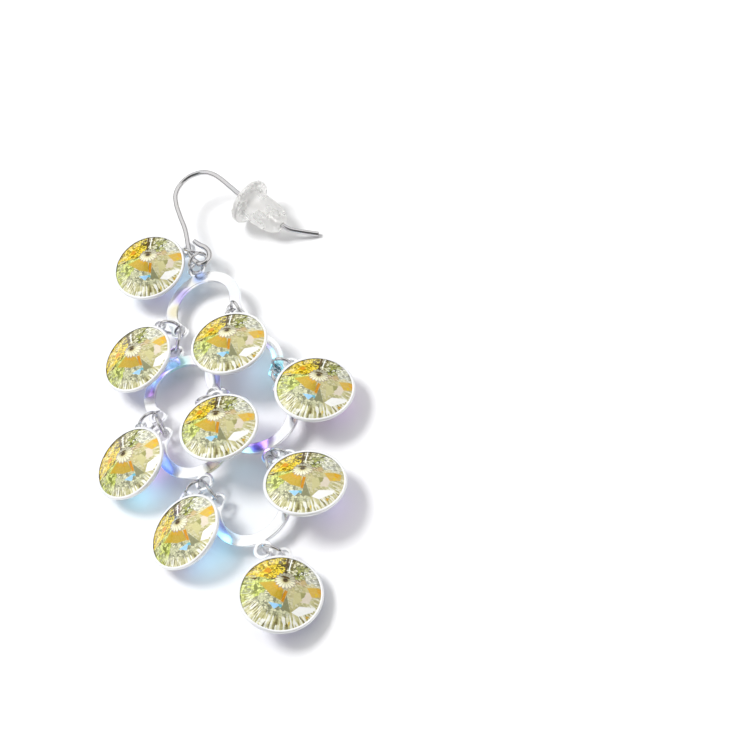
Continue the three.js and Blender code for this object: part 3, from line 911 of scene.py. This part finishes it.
def wire_tree():
    """Geometry nodes that give a curve a round wire, closed at its ends."""
    found = bpy.data.node_groups.get("round_wire")
    if found:
        return found
    tree = bpy.data.node_groups.new("round_wire", "GeometryNodeTree")
    for name, direction, kind in (
        ("Geometry", "INPUT", "Geometry"),
        ("Thickness", "INPUT", "Float"),
        ("Sides", "INPUT", "Int"),
        ("Finish", "INPUT", "Material"),
        ("Geometry", "OUTPUT", "Geometry"),
    ):
        tree.interface.new_socket(name, in_out=direction, socket_type=f"NodeSocket{kind}")
    nodes = Nodes(tree)
    start = nodes.add("NodeGroupInput")
    half = nodes.maths("MULTIPLY", start.outputs["Thickness"], 0.5)
    section = nodes.add("GeometryNodeCurvePrimitiveCircle")
    nodes.link(start.outputs["Sides"], section.inputs["Resolution"])
    nodes.link(half, section.inputs["Radius"])
    sweep = nodes.add("GeometryNodeCurveToMesh", {"Fill Caps": True})
    nodes.link(start.outputs["Geometry"], sweep.inputs["Curve"])
    nodes.link(section.outputs["Curve"], sweep.inputs["Profile Curve"])
    real = nodes.add("GeometryNodeRealizeInstances")
    nodes.link(sweep.outputs["Mesh"], real.inputs["Geometry"])
    finish = nodes.add("GeometryNodeSetMaterial")
    nodes.link(real.outputs["Geometry"], finish.inputs["Geometry"])
    nodes.link(start.outputs["Finish"], finish.inputs["Material"])
    end = nodes.add("NodeGroupOutput")
    nodes.link(finish.outputs["Geometry"], end.inputs["Geometry"])
    return tree


def round_wire(points, thickness, sides, smooth_steps, finish):
    """A mesh of round wire along the points, from geometry nodes on a curve."""
    curve = bpy.data.curves.new("wire", "CURVE")
    curve.dimensions = "3D"
    curve.resolution_u = smooth_steps
    spline = curve.splines.new("BEZIER")
    spline.bezier_points.add(len(points) - 1)
    for point, spot in zip(spline.bezier_points, points):
        point.co = spot
        point.handle_left_type = "AUTO"
        point.handle_right_type = "AUTO"
    thing = bpy.data.objects.new("wire", curve)
    bpy.context.scene.collection.objects.link(thing)
    tree = wire_tree()
    modifier = thing.modifiers.new("wire", "NODES")
    modifier.node_group = tree
    values = {"Thickness": thickness, "Sides": sides, "Finish": finish}
    for item in tree.interface.items_tree:
        if item.in_out == "INPUT" and item.name in values:
            modifier[item.identifier] = values[item.name]
    return cleaned(evaluated(thing), 1e-7, 45)


# Pieces


def link_outlines(s):
    """The outline of a horseshoe link with its three lugs, and the outlines of its holes."""
    radius = s.link_diameter / 2
    outer = radius + s.link_width / 2
    inner = radius - s.link_width / 2
    far = outer + s.lug_radius - s.lug_overlap
    end = s.link_end
    left = (-radius * math.cos(end), -radius * math.sin(end))
    right = (radius * math.cos(end), -radius * math.sin(end))
    mid = (0.0, far)

    def meeting(reach, distance):
        """Where a circle round the link's middle meets a lug's: the angles at both middles."""
        along = (reach**2 - s.lug_radius**2 + distance**2) / (2 * distance)
        across = math.sqrt(reach**2 - along**2)
        return math.atan2(across, along), math.atan2(across, along - distance)

    out_origin, out_lug = meeting(outer, radius)
    in_origin, in_lug = meeting(inner, radius)
    mid_origin, mid_lug = meeting(outer, far)
    top = math.pi / 2
    other = math.pi + end
    outline = arc(right, s.lug_radius, -end - in_lug, -end + out_lug, 28)
    outline += arc((0, 0), outer, -end + out_origin, top - mid_origin, 40)[1:]
    outline += arc(mid, s.lug_radius, top - mid_lug, top + mid_lug, 28)[1:]
    outline += arc((0, 0), outer, top + mid_origin, other - out_origin, 40)[1:]
    outline += arc(left, s.lug_radius, other - out_lug, other + in_lug, 28)[1:]
    outline += arc((0, 0), inner, other - in_origin, -end + in_origin, 72)[1:-1]
    return [outline, *(circle(centre, s.lug_hole, 32) for centre in (left, right, mid))]


def crystal_mesh(s, matrix, shift):
    """A round pointed crystal, with a map of its face turned the same way on every crystal."""
    rim = s.stone_diameter / 2
    girdle = s.girdle / 2
    table = s.stone_table / 2
    rings = [
        (table, s.crown_height, 8, 0.0),
        (rim * 0.55, girdle + (s.crown_height - girdle) * 0.5, 16, 0.5),
        (rim, girdle, 16, 0.0),
        (rim, -girdle, 16, 0.0),
        (rim * 0.5, -girdle - (s.back_depth - girdle) * 0.55, 16, 0.5),
        (table, -s.back_depth, 8, 0.0),
    ]
    work = bmesh.new()
    for radius, height, count, turn in rings:
        for index in range(count):
            angle = (index + turn) / count * 2 * math.pi
            work.verts.new((radius * math.cos(angle), radius * math.sin(angle), height))
    bmesh.ops.convex_hull(work, input=work.verts)
    flat = math.radians(0.5)
    bmesh.ops.dissolve_limit(work, angle_limit=flat, verts=work.verts, edges=work.edges)
    bmesh.ops.recalc_face_normals(work, faces=work.faces)
    mesh = mesh_from(work, "crystal")
    mesh.materials.append(crystal_front())
    mesh.materials.append(crystal_foil())

    spin = matrix.to_3x3()
    facing = spin.col[2]
    right = Vector((math.cos(PICTURE_TURN), math.sin(PICTURE_TURN), 0.0))
    right = (right - facing * right.dot(facing)).normalized()
    above = facing.cross(right)
    turn, across, along = shift
    c, d = math.cos(math.radians(turn)), math.sin(math.radians(turn))
    face_map = mesh.uv_layers.new(name="face_map")
    for face in mesh.polygons:
        face.material_index = 1 if face.center.z < -girdle * 1.01 else 0
        for corner in face.loop_indices:
            spot = spin @ mesh.vertices[mesh.loops[corner].vertex_index].co
            u, v = spot.dot(right) / rim - across, spot.dot(above) / rim - along
            face_map.data[corner].uv = (c * u + d * v, c * v - d * u)
    return mesh


def cup_mesh(s):
    """A collar setting: a tapered turned wall with a burnished lip, and a tab to a holed lug."""
    rim = s.stone_diameter / 2
    outer = rim + s.cup_wall - 0.006 * MM
    low = -s.cup_depth
    lip = s.cup_lip
    girdle = s.girdle / 2
    seat = rim - 0.5 * MM
    profile = [
        (outer - 0.45 * MM, low),
        (outer - 0.38 * MM, low + 0.05 * MM),
        (outer - 0.01 * MM, lip - 0.28 * MM),
        (outer - 0.03 * MM, lip - 0.14 * MM),
        (rim + 0.14 * MM, lip - 0.01 * MM),
        (rim + 0.04 * MM, lip),
        (rim - 0.10 * MM, lip - 0.04 * MM),
        (rim + 0.03 * MM, girdle),
        (rim + 0.03 * MM, -girdle - 0.04 * MM),
        (seat, -girdle - 0.34 * MM),
        (seat, low),
    ]
    wall = turned(profile, 96)
    reach = rim + s.cup_wall + s.cup_hole
    start = rim + s.cup_wall * 0.3
    side = s.cup_lug * 0.8
    bend = math.radians(125)
    outline = [(start, -side), *arc((reach, 0), s.cup_lug, -bend, bend, 30), (start, side)]
    lug = plate([outline, circle((reach, 0), s.cup_hole, 28)], s.cup_sheet, 0.05 * MM)
    lug.transform(Matrix.Translation((0, 0, -s.cup_drop)))
    work = bmesh.new()
    work.from_mesh(wall)
    work.from_mesh(lug)
    top = low * 0.7
    foot = -s.cup_drop - s.cup_sheet / 2 + 0.02 * MM
    scale = Matrix.Diagonal((s.cup_wall * 0.86, s.cup_lug * 1.5, top - foot, 1.0))
    spot = Matrix.Translation((rim + s.cup_wall * 0.5, 0.0, (top + foot) / 2))
    tab = bmesh.ops.create_cube(work, size=1.0, matrix=spot @ scale)
    edges = {edge for vert in tab["verts"] for edge in vert.link_edges}
    bmesh.ops.bevel(work, geom=list(edges), offset=0.04 * MM, segments=2, affect="EDGES")
    bpy.data.meshes.remove(wall)
    bpy.data.meshes.remove(lug)
    mesh = mesh_from(work, "cup")
    smooth(mesh, 40)
    return mesh


def stopper_mesh(s):
    """A bullet-shaped clear stopper with a flange, bored for the wire."""
    hole = s.wire / 2 + 0.12 * MM
    body = s.stopper_body / 2
    length = s.stopper_length
    thick = 1.0 * MM
    nose = 1.5 * MM
    edge = 0.32 * MM
    rim = s.stopper_flange / 2 - edge
    quarter = math.pi / 2
    profile = [(hole, 0.0), (rim, 0.0)]
    profile += arc((rim, edge), edge, -quarter, 0, 6)[1:]
    profile += arc((rim, thick - edge), edge, 0, quarter, 6)
    profile += [
        (body + 0.25 * MM, thick + 0.02 * MM),
        (body + 0.03 * MM, thick + 0.2 * MM),
        (body, thick + 0.6 * MM),
        (body * 0.995, length * 0.42),
        (body * 0.98, length * 0.55),
        (body * 0.94, length * 0.68),
        (body * 0.875, length * 0.79),
        (body * 0.76, length * 0.89),
        (nose * 0.98, length * 0.955),
        (nose * 0.72, length * 0.995),
        (nose * 0.5, length),
        (hole, length),
    ]
    mesh = turned(profile, 72)
    smooth(mesh, 50)
    return mesh


class EARRING_OT_links(bpy.types.Operator):
    """Builds the six flat horseshoe links with polished, slightly rounded edges"""

    bl_idname = "earring.links"
    bl_label = "Horseshoe Links"

    def execute(self, context):
        s = sizes()
        for name, centre, turn in LINKS:
            mesh = plate(link_outlines(s), s.link_thickness, s.link_edge)
            finished(name, mesh, place(centre, turn), [plating()])
        return {"FINISHED"}


class EARRING_OT_jump_rings(bpy.types.Operator):
    """Builds the jump rings, each with the hairline joint in its wire"""

    bl_idname = "earring.jump_rings"
    bl_label = "Jump Rings"

    def execute(self, context):
        s = sizes()
        start, end = (math.radians(angle) for angle in RING_ENDS)
        for name, centre, turn in JUMP_RINGS:
            points = [(x, y, 0.0) for x, y in arc((0, 0), s.ring_diameter / 2, start, end, 24)]
            mesh = round_wire(points, s.ring_wire, 14, 3, drawn_wire())
            finished(name, mesh, place(centre, turn), [drawn_wire()])
        return {"FINISHED"}


class EARRING_OT_ear_wire(bpy.types.Operator):
    """Builds the ear wire with its eye, bow and kinked tail"""

    bl_idname = "earring.ear_wire"
    bl_label = "Ear Wire"

    def execute(self, context):
        points = [Vector(point) * MM for point in EAR_WIRE]
        mesh = round_wire(points, sizes().wire, 24, 12, drawn_wire())
        finished("ear_hook", mesh, Matrix(), [drawn_wire()])
        return {"FINISHED"}


class EARRING_OT_stopper(bpy.types.Operator):
    """Builds the frosted clear stopper on the ear wire's tail"""

    bl_idname = "earring.stopper"
    bl_label = "Stopper"

    def execute(self, context):
        way = Vector((0, 0, 1)).rotation_difference(Vector(STOPPER_WAY)).to_matrix().to_4x4()
        matrix = Matrix.Translation(Vector(STOPPER_START) * MM) @ way
        finished("stopper", stopper_mesh(sizes()), matrix, [silicone()])
        return {"FINISHED"}


class EARRING_OT_settings(bpy.types.Operator):
    """Builds the open-backed collar settings with their holed lugs"""

    bl_idname = "earring.settings"
    bl_label = "Collar Settings"

    def execute(self, context):
        for number, centre, turn in CRYSTALS:
            mesh = cup_mesh(sizes())
            finished(
                f"cup_{number}", mesh, place(centre, turn), [setting_plating()]
            )
        return {"FINISHED"}


class EARRING_OT_crystals(bpy.types.Operator):
    """Builds the round pointed crystals with cut fronts and foiled backs"""

    bl_idname = "earring.crystals"
    bl_label = "Crystals"

    def execute(self, context):
        for number, centre, turn in CRYSTALS:
            matrix = place(centre, turn)
            mesh = crystal_mesh(sizes(), matrix, PICTURE_SHIFT[number])
            finished(f"stone_{number}", mesh, matrix, [])
        return {"FINISHED"}


class EARRING_OT_stage(bpy.types.Operator):
    """Builds the pale floor, the soft light and the camera"""

    bl_idname = "earring.stage"
    bl_label = "Stage"

    def execute(self, context):
        self.floor()
        self.world(context)
        self.lamps(context)
        self.camera(context)
        return {"FINISHED"}

    def floor(self):
        work = bmesh.new()
        bmesh.ops.create_grid(work, x_segments=1, y_segments=1, size=1.5)
        mesh = mesh_from(work, "floor")
        piece = bpy.data.objects.new("floor", mesh)
        bpy.context.scene.collection.objects.link(piece)
        material, nodes, surface = shader(
            "pale_floor", {"Roughness": 0.6, "Specular IOR Level": 0.2}
        )
        grain = nodes.noise(nodes.add("ShaderNodeTexCoord").outputs["Object"], 40.0)
        pale = tuple(colours().floor)
        worn = tuple(0.985 * value for value in pale)
        nodes.link(nodes.ramp(grain, [(0.3, worn), (0.7, pale)]), surface.inputs["Base Color"])
        mesh.materials.append(material)

    def world(self, context):
        """A bright ring above a dark horizon, dark where the camera stands; the camera itself
        sees a plain pale ground."""
        world = bpy.data.worlds.new("studio")
        context.scene.world = world
        world.use_nodes = True
        world.node_tree.nodes.clear()
        nodes = Nodes(world.node_tree)
        way = nodes.add("ShaderNodeTexCoord").outputs["Generated"]
        split = nodes.add("ShaderNodeSeparateXYZ")
        nodes.link(way, split.inputs[0])
        height = nodes.maths("MULTIPLY_ADD", split.outputs["Z"], 0.5, 0.5)
        sky = nodes.ramp(
            height,
            [
                (0.0, 0.50),
                (0.50, 0.60),
                (0.53, 0.03),
                (0.64, 0.05),
                (0.68, 0.80),
                (0.80, 1.0),
                (0.96, 1.0),
                (1.0, 0.60),
            ],
        )
        dark = nodes.ramp(nodes.along(way, CAMERA_SIDE), [(0.80, 1.0), (0.87, 0.10)])
        sky = nodes.mix(1.0, sky, dark, "MULTIPLY")
        path = nodes.add("ShaderNodeLightPath")
        sky = nodes.mix(path.outputs["Is Camera Ray"], sky, PALE_GROUND)
        glow = nodes.add("ShaderNodeBackground", {"Strength": 1.1})
        nodes.link(sky, glow.inputs["Color"])
        output = nodes.add("ShaderNodeOutputWorld")
        nodes.link(glow.outputs[0], output.inputs[0])
        context.scene.view_settings.view_transform = "Standard"

    def lamps(self, context):
        for name, way, distance, size, power in LAMPS:
            data = bpy.data.lights.new(name, "AREA")
            data.shape = "DISK"
            data.size = size
            data.energy = power
            lamp = bpy.data.objects.new(name, data)
            lamp.location = Vector(way).normalized() * distance
            lamp.visible_glossy = False
            lamp.rotation_euler = (-lamp.location).to_track_quat("-Z", "Y").to_euler()
            context.scene.collection.objects.link(lamp)

    def camera(self, context):
        forward = Vector((0.0, math.cos(CAMERA_TILT), -math.sin(CAMERA_TILT)))
        level = Vector((1.0, 0.0, 0.0))
        upright = Vector((0.0, math.sin(CAMERA_TILT), math.cos(CAMERA_TILT)))
        up = upright * math.cos(CAMERA_ROLL) + level * math.sin(CAMERA_ROLL)
        right = level * math.cos(CAMERA_ROLL) - upright * math.sin(CAMERA_ROLL)
        data = bpy.data.cameras.new("camera")
        data.sensor_fit = "HORIZONTAL"
        data.sensor_width = 36.0
        data.lens = 36.0 * FOCAL_LENGTH
        data.clip_start = 0.01
        data.clip_end = 10.0
        camera = bpy.data.objects.new("camera", data)
        spot = (Vector(LOOK_AT) - forward * CAMERA_DISTANCE) * MM
        turn = Matrix((right, up, -forward)).transposed().to_4x4()
        camera.matrix_world = Matrix.Translation(spot) @ turn
        context.scene.collection.objects.link(camera)
        context.scene.camera = camera


class EARRING_PT_panel(bpy.types.Panel):
    """Sizes, colours and build buttons of the earring"""

    bl_idname = "EARRING_PT_panel"
    bl_label = "Chandelier Earring"
    bl_space_type = "VIEW_3D"
    bl_region_type = "UI"
    bl_category = "Earring"

    def draw(self, context):
        layout = self.layout
        for name in ("earring_sizes", "earring_colours"):
            values = getattr(context.scene, name)
            column = layout.column(align=True)
            for key in values.__annotations__:
                column.prop(values, key)
        for operator in OPERATORS:
            layout.operator(operator.bl_idname)


OPERATORS = (
    EARRING_OT_links,
    EARRING_OT_jump_rings,
    EARRING_OT_ear_wire,
    EARRING_OT_stopper,
    EARRING_OT_settings,
    EARRING_OT_crystals,
    EARRING_OT_stage,
)
CLASSES = (EarringSizes, EarringColours, *OPERATORS, EARRING_PT_panel)


def register():
    for item in CLASSES:
        bpy.utils.register_class(item)
    bpy.types.Scene.earring_sizes = bpy.props.PointerProperty(type=EarringSizes)
    bpy.types.Scene.earring_colours = bpy.props.PointerProperty(type=EarringColours)


def unregister():
    del bpy.types.Scene.earring_colours
    del bpy.types.Scene.earring_sizes
    for item in reversed(CLASSES):
        bpy.utils.unregister_class(item)


def main():
    register()
    bpy.ops.earring.links()
    bpy.ops.earring.jump_rings()
    bpy.ops.earring.ear_wire()
    bpy.ops.earring.stopper()
    bpy.ops.earring.settings()
    bpy.ops.earring.crystals()
    bpy.ops.earring.stage()


if __name__ == "__main__":
    main()
